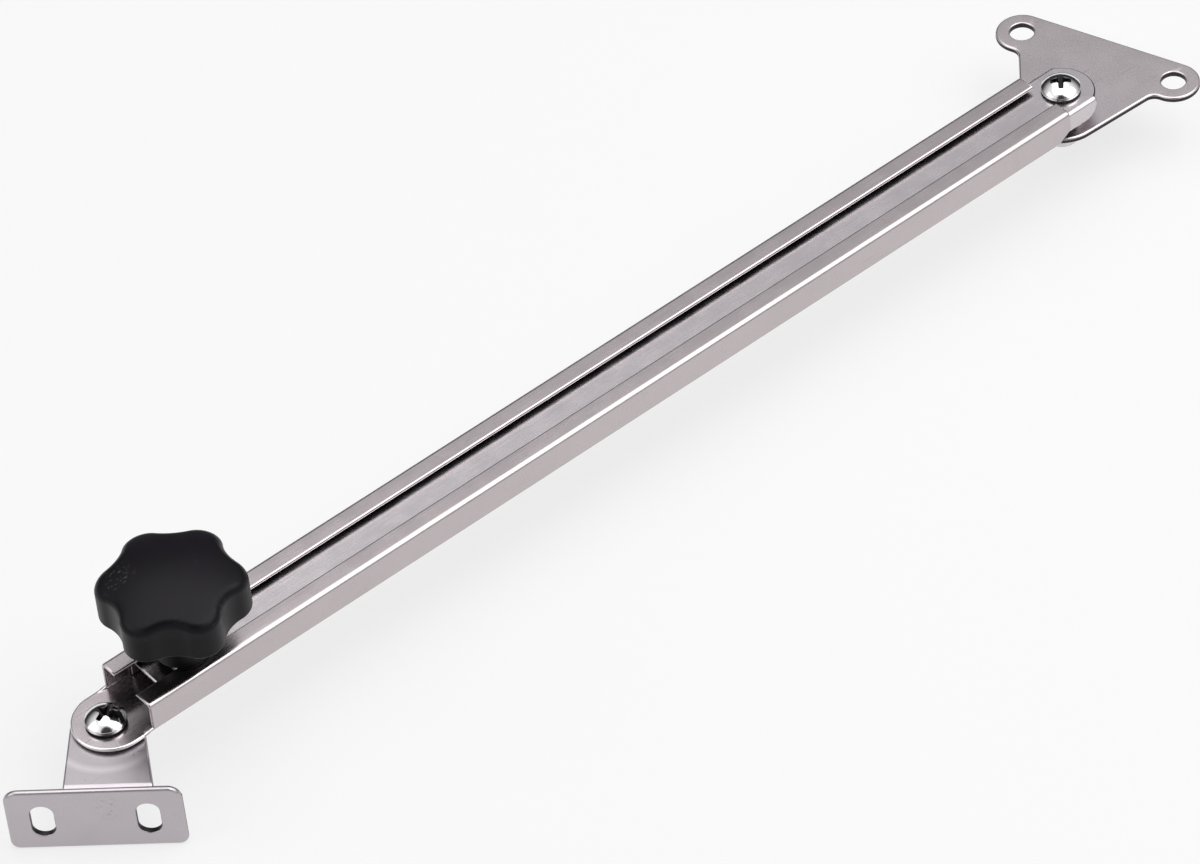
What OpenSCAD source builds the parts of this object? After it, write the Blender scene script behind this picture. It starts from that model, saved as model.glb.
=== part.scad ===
// Telescopic folding stay: a rail slides in a slotted channel and a star knob clamps it.
// The origin is at the centre of the bracket's mounting face.
// +X runs along the bar and +Z points out of the slot, towards the knob.

/* [Stay] */
// Distance between the two pivot screws when the stay is closed
pivot_span = 260; // [180:1:340]
// How far the rail slides out of the channel
travel = 160; // [60:1:170]
// Angle of the bracket's mounting face to the bar as shown
bracket_turn = -41.25; // [-80:0.25:0]
// Angle of the hinge plate's hole line to the bar as shown
plate_turn = -70; // [-140:0.5:-20]

/* [Outer channel] */
// Outside width of the channel
channel_w = 16.5; // [15:0.1:20]
// Outside height of the channel
channel_h = 7.7; // [7.4:0.1:10]
// Sheet thickness of the channel
channel_t = 0.9; // [0.7:0.05:1.2]
// Inside radius of the channel's bends
channel_bend_in = 0.2; // [0.1:0.05:0.6]
// Width of the slot between the two lips
slot_w = 7.2; // [6.6:0.1:8.5]
// Distance from the bracket's pivot to the start of the channel's walls
wall_start = 5.8; // [5.5:0.1:9]
// Distance from the bracket's pivot to the centre of the tongue's round end
tongue_shift = 1.2; // [0:0.1:3]
// Length of the slanted cut below the channel's far end
end_cut_l = 4.5; // [1:0.1:6]
// Height of the slanted cut below the channel's far end
end_cut_h = 2.3; // [0.5:0.1:3]

/* [Inner rail] */
// Sheet thickness of the rail
rail_t = 0.9; // [0.7:0.05:1.2]
// Inside radius of the rail's bends
rail_bend_in = 0.1; // [0.1:0.05:0.5]
// Clearance between the rail and each wall of the channel
rail_side_gap = 0.15; // [0.1:0.05:0.4]
// Clearance between the rail's web and the channel's lips
rail_top_gap = 0.9; // [0.2:0.05:1.2]
// Clearance between the rail's edges and the channel's floor
rail_floor_gap = 0.2; // [0.1:0.05:0.6]
// Length of rail on the bracket's side of the knob
rail_lead = 8.7; // [7:0.1:14]
// Radius of the web's round end about its pivot screw
rail_end_r = 7.4; // [7:0.1:9]
// Radius of the corners at the lower ends of the rail's walls
rail_corner_r = 3.6; // [0.5:0.1:4]

/* [Knob] */
// Distance from the bracket's pivot to the knob when the stay is closed
knob_x = 20.3; // [18:0.1:40]
// Radius of the knob at the tips of its lobes
knob_r = 15.5; // [14:0.1:20]
// Radius of the knob at the bottom of its valleys
knob_waist_r = 13; // [11:0.1:14]
// Number of lobes
knob_lobes = 6; // [5:1:7]
// Radius of each lobe
lobe_r = 5; // [3.5:0.1:5.5]
// Height of the knob from its hub's foot to the rim of its top
knob_h = 19.5; // [15:0.1:24]
// Height of the knob's skirt
skirt_h = 9.1; // [6:0.1:10]
// Wall thickness of the skirt
skirt_t = 2.2; // [1.6:0.1:3]
// Thickness of the knob's top
knob_roof_t = 3; // [2:0.1:4]
// Radius of the knob's upper edge
knob_edge_r = 1.6; // [0.8:0.1:2]
// Radius of the ball that the knob's domed top is part of
knob_dome_r = 40; // [30:1:80]
// Radius of the small flat in the middle of the dome
knob_flat_r = 1; // [0.5:0.1:3]
// Radius of the hub below the skirt
hub_r = 6; // [5:0.1:7]
// Thickness of the ribs between hub and skirt
knob_rib_t = 1.6; // [1:0.1:2]
// Turn of the knob about its own axis as shown
knob_turn = 21.5; // [0:0.5:60]

/* [Clamp] */
// Diameter of the knob's stud
stud_d = 6; // [5:0.5:6]
// Depth of the stud inside the knob
stud_hold = 12; // [8:0.5:14]
// Gap between the stud's tip and the channel's floor
stud_floor_gap = 0.4; // [0.2:0.1:1.5]
// Width across the flats of the square clamp nut
clamp_nut_w = 10; // [9:0.1:12]
// Thickness of the square clamp nut
clamp_nut_t = 3.2; // [2.4:0.1:3.4]
// Diameter of the washer under the knob
knob_washer_d = 11.4; // [11:0.1:14]
// Thickness of the washer under the knob
knob_washer_t = 0.6; // [0.6:0.1:1.6]

/* [Pivots] */
// Diameter of both pivot screws
screw_d = 5; // [4:0.1:5.5]
// Diameter of their pan heads
head_d = 8.6; // [8:0.1:10.5]
// Height of their pan heads
head_h = 3.1; // [2.4:0.1:4]
// Height of the straight rim of their pan heads
head_rim_h = 1.3; // [0.8:0.1:1.6]
// Length across the cross recess
recess_w = 4.6; // [3.6:0.1:5]
// Depth of the cross recess
recess_depth = 1.9; // [1:0.1:2]
// Diameter of the spacer bush inside the rail
bush_d = 9; // [7:0.1:10]
// Width across the flats of the lock nuts
nut_w = 8; // [7.5:0.1:10]
// Height of the lock nuts' hexagon
nut_hex_h = 3.6; // [3:0.1:5]
// Height of the lock nuts' round collar
nut_collar_h = 1.3; // [1:0.1:2]
// Radius of the lock nuts' round collar
nut_collar_r = 3.5; // [3.4:0.1:3.7]
// Outside radius of the nylon ring in the collar
nut_ring_r = 3.05; // [2.9:0.05:3.2]
// Length of thread that shows below each lock nut
screw_tip = 1; // [0.6:0.1:3]
// Diameter of the washers under the lock nuts
nut_washer_d = 10; // [9:0.1:12]
// Thickness of the washers under the lock nuts
nut_washer_t = 0.8; // [0.5:0.1:1.2]
// Diameter of the slip washer between tongue and bracket
slip_washer_d = 13; // [10:0.1:14]
// Thickness of the slip washer between tongue and bracket
slip_washer_t = 0.4; // [0.3:0.05:1]

/* [Bracket] */
// Sheet thickness of the bracket
bracket_t = 1.5; // [1.2:0.1:2]
// Distance from the pivot to the bracket's mounting face
bracket_reach = 17.3; // [16:0.1:26]
// Radius of the leg's round end
leg_end_r = 7.6; // [7:0.1:9]
// Half width of the leg at its bend, on the narrow side
leg_near_w = 7.8; // [7:0.1:9]
// Half width of the leg at its bend, on the flared side
leg_far_w = 10.4; // [8:0.1:12]
// Inside radius of the bracket's bend
bracket_bend_r = 0.5; // [0.3:0.1:1.5]
// Width of the mounting flange
flange_w = 36; // [34:0.5:44]
// Height of the mounting flange
flange_h = 16; // [14:0.5:22]
// Shift of the flange's centre along its face from the pivot
flange_shift = -2; // [-3:0.1:0]
// Drop of the flange's shoulders below the leg's top
shoulder_drop = 0.5; // [0.3:0.1:1.5]
// Radius of the flange's corners
flange_corner_r = 2; // [1:0.1:3]
// Distance between the two screw slots
slot_pitch = 21.4; // [20:0.1:26]
// Width of each screw slot
slot_hole_w = 4.8; // [4:0.1:5.5]
// Length of each screw slot
slot_hole_l = 8.6; // [6:0.1:10]

/* [Hinge plate] */
// Thickness of the hinge plate
plate_t = 1.5; // [1.2:0.1:2]
// Gap between the hinge plate and the channel's underside
plate_gap = 0.4; // [0.3:0.1:1]
// Distance between the two mounting holes
hole_pitch = 37.1; // [34:0.1:46]
// Distance from the pivot to the line of the mounting holes
hole_line = 19.5; // [17:0.1:26]
// Shift of the two holes along their line from the pivot
plate_shift = -1.3; // [-2:0.1:2]
// Diameter of the mounting holes
hole_d = 5.5; // [4:0.1:6]
// Radius of the round ears about the holes
ear_r = 5.8; // [5:0.1:7]
// Radius of the plate's round tip about its pivot
tip_r = 8.8; // [8:0.1:10]
// Distance from the plate's middle to the corner below each ear
ear_corner = 16.4; // [14:0.1:17]
// Radius of the fillet below each ear
ear_fillet_r = 2.5; // [1:0.1:3]

/* [End stop] */
// Diameter of the stop rivet's head
stop_head_d = 6; // [5:0.1:7]
// Height of the stop rivet's head inside the channel
stop_head_h = 2; // [1.6:0.1:2.4]
// Diameter of the stop rivet's shank
stop_shank_d = 3; // [2.5:0.1:3.5]
// Thickness of the stop rivet's foot below the channel
stop_foot_h = 0.7; // [0.4:0.1:1.2]

/* [Fits] */
// Radial clearance of each turning fit
turn_gap = 0.06; // [0.02:0.01:0.09]
// Axial clearance between faces that turn on each other
face_gap = 0.05; // [0.03:0.01:0.1]
// Radial clearance of a screw or washer in a plain hole
hole_gap = 0.25; // [0.15:0.05:0.4]
// Gap left at each end of the rail's travel
stop_gap = 0.2; // [0.1:0.05:0.5]

/* [Hidden] */
$fn = 64;

steel = [0.72, 0.70, 0.71];
bright_steel = [0.85, 0.85, 0.86];
black = [0.09, 0.09, 0.10];
nylon = [0.90, 0.89, 0.84];

// Far longer than any piece, for cutting away one side of a shape
beyond = 2 * (pivot_span + travel);
// Added to a cutter so that it passes the faces that it cuts
cut = 1;
// A straight edge that runs into an arc starts this far inside it, so that the two cross
blend_sink = 0.02;

channel_bend_r = channel_bend_in + channel_t;
rail_bend_r = rail_bend_in + rail_t;
lip_underside = channel_h - channel_t;
rail_w = channel_w - 2 * channel_t - 2 * rail_side_gap;
rail_top = lip_underside - rail_top_gap;
web_underside = rail_top - rail_t;
rail_foot = channel_t + rail_floor_gap;
rail_start = knob_x - rail_lead;
rail_flat = rail_w / 2 - rail_bend_r;
rail_wall_end = pivot_span + sqrt(pow(rail_end_r, 2) - pow(rail_flat, 2));
channel_end = pivot_span - bush_d / 2 - stop_gap;

shank_r = screw_d / 2;
turn_hole_r = shank_r + turn_gap;
washer_hole_r = shank_r + hole_gap;

leg_top = -slip_washer_t - 2 * face_gap;
leg_underside = leg_top - bracket_t;
bracket_nut_top = leg_underside - nut_washer_t;
plate_top = -plate_gap;
plate_underside = plate_top - plate_t;
plate_nut_top = plate_underside - face_gap - nut_washer_t;
nut_h = nut_hex_h + nut_collar_h;

// Centre of the bracket's mounting face, seen from its pivot at the channel's underside
face_at = [flange_shift * cos(bracket_turn) + bracket_reach * sin(bracket_turn),
           flange_shift * sin(bracket_turn) - bracket_reach * cos(bracket_turn),
           leg_top - shoulder_drop - flange_h / 2];

washer_seat = channel_h + face_gap;
knob_seat = washer_seat + knob_washer_t;
knob_top = knob_seat + knob_h;
skirt_foot = knob_top - skirt_h;
stud_tip = channel_t + stud_floor_gap;
stud_r = stud_d / 2;

// The lobes and valleys of the knob are arcs that meet at a tangent
lobe_step = 360 / knob_lobes;
lobe_at = knob_r - lobe_r;
valley_r = (pow(knob_waist_r, 2) + pow(lobe_at, 2) - pow(lobe_r, 2)
            - 2 * knob_waist_r * lobe_at * cos(lobe_step / 2))
           / (2 * (lobe_r - knob_waist_r + lobe_at * cos(lobe_step / 2)));
valley_at = knob_waist_r + valley_r;
lobe_half = acos((pow(lobe_at, 2) + pow(lobe_r + valley_r, 2) - pow(valley_at, 2))
                 / (2 * lobe_at * (lobe_r + valley_r)));

stop_x = knob_x + travel + clamp_nut_w / 2 + stop_gap + stop_head_d / 2;

// A rectangle about the origin with four round corners
module round_rect(w, h, r) {
    square([w - 2 * r, h], center = true);
    square([w, h - 2 * r], center = true);
    for (x = [-1, 1], y = [-1, 1])
        translate([x * (w / 2 - r), y * (h / 2 - r)]) circle(r);
}

// A vertical slot with round ends
module obround(w, l) {
    square([w, l - w], center = true);
    for (y = [-1, 1])
        translate([0, y * (l - w) / 2]) circle(d = w);
}

// A flat ring with its underside at z = 0
module ring(outer_d, hole_r, h) {
    difference() {
        cylinder(d = outer_d, h = h);
        translate([0, 0, -cut]) cylinder(r = hole_r, h = h + 2 * cut);
    }
}

// Turns a section drawn in Y and Z into a bar along +X
module along_x(length) {
    rotate([90, 0, 90]) linear_extrude(length) children();
}

// Places a piece by the bracket's pivot at the channel's underside
module at_pivot() {
    translate(-face_at) children();
}

module at_bracket() {
    at_pivot() rotate([0, 0, bracket_turn]) children();
}

module at_rail_pivot() {
    at_pivot() translate([pivot_span, 0, 0]) children();
}

module at_plate() {
    at_rail_pivot() rotate([0, 0, plate_turn]) children();
}

module at_knob() {
    at_pivot() translate([knob_x, 0, 0]) children();
}

// Section of the slotted channel, with its floor's underside at Y = 0
module channel_section() {
    difference() {
        translate([0, channel_h / 2]) round_rect(channel_w, channel_h, channel_bend_r);
        translate([0, channel_h / 2])
            round_rect(channel_w - 2 * channel_t, channel_h - 2 * channel_t, channel_bend_in);
        translate([-slot_w / 2, channel_h / 2]) square([slot_w, channel_h]);
    }
}

module outer_channel() {
    color(steel)
    at_pivot()
    difference() {
        union() {
            translate([wall_start, 0, 0]) along_x(channel_end - wall_start) channel_section();
            linear_extrude(channel_t) {
                translate([tongue_shift, 0]) circle(d = channel_w, $fn = 96);
                translate([tongue_shift, -channel_w / 2])
                    square([wall_start - tongue_shift, channel_w]);
                translate([tongue_shift, channel_bend_r - channel_w / 2])
                    square([wall_start - tongue_shift + cut, channel_w - 2 * channel_bend_r]);
            }
        }
        translate([0, 0, -cut]) cylinder(r = turn_hole_r, h = channel_t + 2 * cut);
        translate([stop_x, 0, -cut]) cylinder(d = stop_shank_d, h = channel_t + 2 * cut);
        end_cut();
    }
}

// Wedge that slants the lower corner of the channel's far end
module end_cut() {
    slant = end_cut_l / end_cut_h;
    far_x = channel_end + slant * cut;
    translate([0, channel_w, 0]) rotate([90, 0, 0]) linear_extrude(2 * channel_w)
        polygon([[channel_end - end_cut_l - slant * cut, -cut], [far_x, -cut], [far_x, end_cut_h + cut]]);
}

module end_stop_rivet() {
    color(bright_steel)
    at_pivot() translate([stop_x, 0, 0]) {
        translate([0, 0, channel_t]) rotate_extrude() dome_profile(stop_head_d / 2, stop_head_h);
        cylinder(d = stop_shank_d, h = channel_t);
        mirror([0, 0, 1]) rotate_extrude() dome_profile(stop_head_d / 2, stop_foot_h);
    }
}

// Half section of a low dome on a short rim, with a small flat on top
module dome_profile(r, h) {
    rim_h = h / 3;
    ball_z = (pow(h, 2) - pow(rim_h, 2) + pow(r / 4, 2) - pow(r, 2)) / (2 * (h - rim_h));
    square([r, rim_h]);
    intersection() {
        translate([0, ball_z]) circle(norm([r, rim_h - ball_z]), $fn = 96);
        square([r, h]);
    }
}

// Section of the rail: an upturned U, with Z as Y
module rail_section() {
    difference() {
        intersection() {
            translate([0, rail_top - rail_w / 2]) round_rect(rail_w, rail_w, rail_bend_r);
            translate([-rail_w / 2, rail_foot]) square([rail_w, rail_top - rail_foot]);
        }
        translate([0, web_underside - rail_w / 2])
            round_rect(rail_w - 2 * rail_t, rail_w, rail_bend_in);
    }
}

module inner_rail() {
    color(steel)
    at_pivot()
    difference() {
        intersection() {
            translate([rail_start, 0, 0])
                along_x(pivot_span + rail_end_r - rail_start) rail_section();
            rail_plan();
            rail_side();
        }
        translate([knob_x, 0, web_underside - cut]) cylinder(r = stud_r + hole_gap, h = rail_t + 2 * cut);
        translate([pivot_span, 0, web_underside - cut]) cylinder(r = washer_hole_r, h = rail_t + 2 * cut);
    }
}

// Outline of the rail seen from above, with its round end
module rail_plan() {
    linear_extrude(rail_top) {
        translate([rail_start, -rail_w / 2]) square([rail_wall_end - rail_start, rail_w]);
        intersection() {
            translate([pivot_span, 0]) circle(rail_end_r, $fn = 96);
            translate([pivot_span, -rail_flat]) square([rail_end_r, 2 * rail_flat]);
        }
    }
}

// Outline of the rail seen from the side: its walls end in round corners below the web
module rail_side() {
    wall_h = rail_top - rail_bend_r - rail_foot;
    corner_r = min(rail_corner_r, wall_h - 0.1);
    translate([0, rail_w, 0]) rotate([90, 0, 0]) linear_extrude(2 * rail_w) {
        translate([rail_start, rail_foot])
            square([rail_wall_end - corner_r - rail_start, rail_top - rail_foot]);
        translate([rail_start, rail_foot + corner_r])
            square([rail_wall_end - rail_start, rail_top - rail_foot - corner_r]);
        translate([rail_wall_end - corner_r, rail_foot + corner_r]) circle(corner_r);
        translate([rail_start, rail_top - rail_bend_r])
            square([pivot_span + rail_end_r - rail_start, rail_bend_r]);
    }
}

module clamp_nut() {
    color(bright_steel)
    at_knob() translate([0, 0, web_underside - clamp_nut_t])
    difference() {
        intersection() {
            translate([-clamp_nut_w / 2, -clamp_nut_w / 2, 0])
                cube([clamp_nut_w, clamp_nut_w, clamp_nut_t]);
            // Turned chamfer on the corners of the lower face
            cylinder(r1 = clamp_nut_w / 1.6, r2 = clamp_nut_w / 1.6 + clamp_nut_t, h = clamp_nut_t);
        }
        translate([0, 0, -cut]) cylinder(r = stud_r + turn_gap, h = clamp_nut_t + 2 * cut);
    }
}

module spacer_bush() {
    bush_foot = plate_top + face_gap;
    color(bright_steel)
    at_rail_pivot() translate([0, 0, bush_foot]) ring(bush_d, washer_hole_r, web_underside - bush_foot);
}

// Pan head with a cross recess, its underside at z = 0
module pan_head() {
    rise = head_h - head_rim_h;
    head_r = head_d / 2;
    ball_r = (pow(head_r, 2) + pow(rise, 2)) / (2 * rise);
    arm_w = recess_w / 4.5;
    difference() {
        rotate_extrude() {
            square([head_r, head_rim_h]);
            intersection() {
                translate([0, head_h - ball_r]) circle(ball_r, $fn = 128);
                square([head_r, head_h]);
            }
        }
        translate([0, 0, head_h - recess_depth])
        intersection() {
            union() {
                translate([-recess_w / 2, -arm_w / 2, 0]) cube([recess_w, arm_w, head_h]);
                translate([-arm_w / 2, -recess_w / 2, 0]) cube([arm_w, recess_w, head_h]);
            }
            cylinder(r1 = arm_w * 0.6, r2 = recess_w * 0.75, h = head_h);
        }
    }
}

// Pan head screw with its head's underside at head_z and its tip at tip_z
module pivot_screw(head_z, tip_z, recess_turn) {
    chamfer = 0.5;
    color(bright_steel) {
        translate([0, 0, head_z]) rotate([0, 0, recess_turn]) pan_head();
        translate([0, 0, tip_z + chamfer]) cylinder(r = shank_r, h = head_z - tip_z - chamfer);
        translate([0, 0, tip_z]) cylinder(r1 = shank_r - chamfer, r2 = shank_r, h = chamfer);
    }
}

// Hexagon with turned chamfers and a round collar, its top face at z = 0
module lock_nut() {
    corner_r = nut_w / 2 / cos(30);
    difference() {
        union() {
            translate([0, 0, -nut_hex_h])
            intersection() {
                cylinder(r = corner_r, h = nut_hex_h, $fn = 6);
                cylinder(r1 = nut_w / 2 + nut_hex_h, r2 = nut_w / 2, h = nut_hex_h);
            }
            translate([0, 0, -nut_h]) cylinder(r = nut_collar_r, h = nut_collar_h);
        }
        translate([0, 0, -nut_h - cut]) cylinder(r = turn_hole_r, h = nut_h + 2 * cut);
        translate([0, 0, -nut_h - cut]) cylinder(r = nut_ring_r, h = nut_collar_h + cut);
    }
}

module nut_ring() {
    translate([0, 0, -nut_h]) ring(2 * nut_ring_r, turn_hole_r, nut_collar_h);
}

module bracket_pivot_screw() {
    at_bracket() pivot_screw(channel_t + face_gap, bracket_nut_top - nut_h - screw_tip, 58);
}

module bracket_slip_washer() {
    color(nylon)
    at_bracket() translate([0, 0, leg_top]) ring(slip_washer_d, washer_hole_r, slip_washer_t);
}

module bracket_nut_washer() {
    color(bright_steel)
    at_bracket() translate([0, 0, bracket_nut_top]) ring(nut_washer_d, washer_hole_r, nut_washer_t);
}

module bracket_lock_nut() {
    color(bright_steel)
    at_bracket() translate([0, 0, bracket_nut_top]) lock_nut();
}

module bracket_nut_ring() {
    color(nylon)
    at_bracket() translate([0, 0, bracket_nut_top]) nut_ring();
}

module plate_pivot_screw() {
    at_rail_pivot() pivot_screw(rail_top, plate_nut_top - nut_h - screw_tip, 50);
}

module plate_nut_washer() {
    color(bright_steel)
    at_rail_pivot() translate([0, 0, plate_nut_top]) ring(nut_washer_d, washer_hole_r, nut_washer_t);
}

module plate_lock_nut() {
    color(bright_steel)
    at_rail_pivot() translate([0, 0, plate_nut_top]) lock_nut();
}

module plate_nut_ring() {
    color(nylon)
    at_rail_pivot() translate([0, 0, plate_nut_top]) nut_ring();
}

// Flat leg of the bracket seen from above: round at its pivot and flared towards the bend
module leg_outline() {
    bend_start = bracket_reach - bracket_bend_r - bracket_t;
    circle(leg_end_r, $fn = 96);
    polygon([[-leg_end_r, 0], [leg_end_r, 0], [leg_far_w, -bend_start], [-leg_near_w, -bend_start]]);
}

// Quarter bend between the leg and the flange
module bracket_bend() {
    outer_r = bracket_bend_r + bracket_t;
    width = leg_near_w + leg_far_w;
    translate([-leg_near_w, outer_r - bracket_reach, leg_top - outer_r])
    intersection() {
        rotate([0, 90, 0])
        difference() {
            cylinder(r = outer_r, h = width);
            translate([0, 0, -cut]) cylinder(r = bracket_bend_r, h = width + 2 * cut);
        }
        translate([-cut, -outer_r - cut, 0]) cube([width + 2 * cut, outer_r + cut, outer_r + cut]);
    }
}

// Mounting flange with its screw slots, drawn in X and Z
module flange_outline() {
    shoulder = leg_top - shoulder_drop;
    bend_foot = leg_top - bracket_bend_r - bracket_t;
    difference() {
        translate([flange_shift, shoulder - flange_h / 2])
            round_rect(flange_w, flange_h, flange_corner_r);
        translate([-leg_near_w, bend_foot]) square([leg_near_w + leg_far_w, beyond]);
        for (side = [-1, 1])
            translate([flange_shift + side * slot_pitch / 2, shoulder - flange_h / 2])
                obround(slot_hole_w, slot_hole_l);
    }
}

module angle_bracket() {
    color(steel)
    at_bracket()
    difference() {
        union() {
            translate([0, 0, leg_underside]) linear_extrude(bracket_t) leg_outline();
            bracket_bend();
            translate([0, bracket_t - bracket_reach, 0])
                rotate([90, 0, 0]) linear_extrude(bracket_t) flange_outline();
        }
        translate([0, 0, leg_underside - cut]) cylinder(r = washer_hole_r, h = bracket_t + 2 * cut);
    }
}

// Where a line from the point (x, y) touches a circle of radius r about the origin
function touch_point(x, y, r) =
    let (a = atan2(y, x) - acos(r / norm([x, y])))
    [r * cos(a), r * sin(a)];

// Side of the hinge plate from its tip to the top of an ear whose hole is shifted outwards
function side_edge(shift) =
    let (foot = hole_line - ear_r,
         corner = [ear_corner + shift, foot],
         touch = touch_point(corner[0], corner[1], tip_r - blend_sink),
         slope = (touch - corner) / norm(touch - corner),
         run = ear_fillet_r / tan(acos(slope[0]) / 2))
    [touch, corner + slope * run, corner + [run, 0], [hole_pitch / 2 + shift, foot],
     [hole_pitch / 2 + shift, hole_line + ear_r]];

// Outline of the hinge plate with its pivot at the origin
module plate_outline() {
    left = [for (p = side_edge(-plate_shift)) [-p[0], p[1]]];
    right = side_edge(plate_shift);
    difference() {
        union() {
            circle(tip_r, $fn = 96);
            polygon(concat(right, [for (i = [len(left) - 1 : -1 : 0]) left[i]]));
            for (side = [-1, 1])
                translate([plate_shift + side * hole_pitch / 2, hole_line]) circle(ear_r);
        }
        for (edge = [left, right])
            translate(edge[2] - [0, ear_fillet_r]) circle(ear_fillet_r);
        for (side = [-1, 1])
            translate([plate_shift + side * hole_pitch / 2, hole_line]) circle(d = hole_d);
        circle(turn_hole_r);
    }
}

module hinge_plate() {
    color(steel)
    at_plate() translate([0, 0, plate_underside]) linear_extrude(plate_t) plate_outline();
}

module clamp_washer() {
    color(black)
    at_knob() translate([0, 0, washer_seat]) ring(knob_washer_d, stud_r + hole_gap, knob_washer_t);
}

module knob_stud() {
    chamfer = 0.6;
    color(bright_steel)
    at_knob() {
        translate([0, 0, stud_tip + chamfer])
            cylinder(r = stud_r, h = knob_seat + stud_hold - stud_tip - chamfer);
        translate([0, 0, stud_tip]) cylinder(r1 = stud_r - chamfer, r2 = stud_r, h = chamfer);
    }
}

function polar(r, a) = [r * cos(a), r * sin(a)];

// Lobed outline of the knob: a core that joins the lobes, less a round valley between each two
module star_outline() {
    joint = polar(lobe_at, 0) + polar(lobe_r, 180 - lobe_half);
    joint_r = norm(joint);
    joint_a = atan2(joint[1], joint[0]);
    difference() {
        union() {
            polygon([for (i = [0 : knob_lobes - 1], side = [-1, 1])
                polar(joint_r, i * lobe_step + side * joint_a)]);
            for (i = [0 : knob_lobes - 1])
                rotate(i * lobe_step) translate([lobe_at, 0]) circle(lobe_r);
        }
        for (i = [0 : knob_lobes - 1])
            rotate((i + 0.5) * lobe_step) translate([valley_at, 0]) circle(valley_r + blend_sink);
    }
}

// Body of revolution that domes the top of the knob and rounds the upper edge of its lobes
module head_round() {
    edge_x = knob_r + blend_sink - knob_edge_r;
    edge_z = knob_top - knob_edge_r;
    dome_z = edge_z - sqrt(pow(knob_dome_r - knob_edge_r, 2) - pow(edge_x, 2));
    dome_top = dome_z + sqrt(pow(knob_dome_r, 2) - pow(knob_flat_r, 2));
    rotate_extrude($fn = 128) {
        square([edge_x + knob_edge_r, edge_z]);
        translate([edge_x, edge_z]) circle(knob_edge_r + blend_sink);
        intersection() {
            translate([0, dome_z]) circle(knob_dome_r, $fn = 192);
            square([edge_x * knob_dome_r / (knob_dome_r - knob_edge_r), dome_top]);
        }
    }
}

// Outline of the hollow below the head, which follows the lobes
module hollow_outline() {
    circle(knob_waist_r - skirt_t, $fn = 96);
    for (i = [0 : knob_lobes - 1])
        rotate(i * lobe_step) translate([lobe_at, 0]) circle(lobe_r - skirt_t);
}

module star_knob() {
    roof = knob_top - knob_roof_t;
    color(black)
    at_knob() rotate([0, 0, knob_turn])
    difference() {
        union() {
            difference() {
                intersection() {
                    translate([0, 0, skirt_foot]) linear_extrude(beyond) star_outline();
                    head_round();
                }
                translate([0, 0, skirt_foot - cut])
                    linear_extrude(skirt_h - knob_roof_t + cut) hollow_outline();
            }
            translate([0, 0, knob_seat]) cylinder(r = hub_r, h = roof - knob_seat + cut);
            for (i = [0 : knob_lobes - 1])
                rotate([0, 0, i * lobe_step]) translate([hub_r - cut, -knob_rib_t / 2, skirt_foot + cut])
                    cube([knob_r - skirt_t - hub_r + 2 * cut, knob_rib_t, roof - skirt_foot]);
        }
        translate([0, 0, knob_seat - cut]) cylinder(r = stud_r + turn_gap, h = stud_hold + cut);
    }
}

angle_bracket();
bracket_pivot_screw();
bracket_slip_washer();
bracket_nut_washer();
bracket_lock_nut();
bracket_nut_ring();
outer_channel();
end_stop_rivet();
inner_rail();
clamp_nut();
spacer_bush();
plate_pivot_screw();
plate_nut_washer();
plate_lock_nut();
plate_nut_ring();
hinge_plate();
clamp_washer();
knob_stud();
star_knob();
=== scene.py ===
import math

import bmesh
import bpy
from mathutils import Matrix, Vector


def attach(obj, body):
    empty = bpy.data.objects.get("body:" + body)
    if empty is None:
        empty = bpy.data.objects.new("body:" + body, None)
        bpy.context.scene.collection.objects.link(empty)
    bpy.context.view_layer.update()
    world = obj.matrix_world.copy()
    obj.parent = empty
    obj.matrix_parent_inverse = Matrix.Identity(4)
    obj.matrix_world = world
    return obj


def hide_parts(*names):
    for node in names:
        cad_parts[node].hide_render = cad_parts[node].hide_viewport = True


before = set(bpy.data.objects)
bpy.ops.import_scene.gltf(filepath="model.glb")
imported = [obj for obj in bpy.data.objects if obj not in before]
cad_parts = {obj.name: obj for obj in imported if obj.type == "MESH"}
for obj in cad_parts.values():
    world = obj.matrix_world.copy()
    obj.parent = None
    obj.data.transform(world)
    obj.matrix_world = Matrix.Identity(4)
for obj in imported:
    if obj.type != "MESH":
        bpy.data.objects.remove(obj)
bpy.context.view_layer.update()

# Sizes are in millimetres, as in the part's source, and become metres in make_object.
MM = 0.001

# Overall: the plate's pivot and the knob's place along the channel from the bracket's pivot, the
# rail's travel, and how far the bracket and the plate are turned at rest
PIVOT_SPAN = 260.0
KNOB_X = 20.3
TRAVEL = 160.0
BRACKET_TURN = -41.25
PLATE_TURN = -70.0

# Gaps: between seated faces, round a screw that turns, in a loose hole and at the rail's stops
SEAT_GAP = 0.05
TURN_GAP = 0.06
HOLE_GAP = 0.25
STOP_GAP = 0.2
# How far joined bodies and cutters reach into each other
OVERLAP = 1.0

# Folds across a bend of the channel or the rail, and corners of a hole for a screw
BEND_STEPS = 6
HOLE_STEPS = 48
THREAD_STEPS = 40
ROWS_PER_PITCH = 10
# Points closer than this are one point, and bends smaller than this are flat
NEARLY_ZERO = 1e-4
# Keeps a loop's sharp corners from running far out when it is inset
MITRE_LIMIT = 0.3
# Degrees between faces from which an edge shows as sharp
SHARP = 40
KNOB_SHARP = 35
FASTENER_SHARP = 32

# Pan head screws of the two pivots
SCREW_R = 2.5
SCREW_PITCH = 0.8
SCREW_THREAD = 0.32
SCREW_CHAMFER = 0.5
SCREW_TIP = 1.0
CLOSE_HOLE_R = SCREW_R + TURN_GAP
FREE_HOLE_R = SCREW_R + HOLE_GAP
HEAD_R = 4.3
HEAD_H = 3.1
HEAD_RIM_H = 1.3
HEAD_FOOT_H = 0.62
HEAD_FOOT_CUT = 0.25
HEAD_EDGE_R = 0.35
RECESS_W = 4.6
RECESS_DEPTH = 1.9
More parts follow.
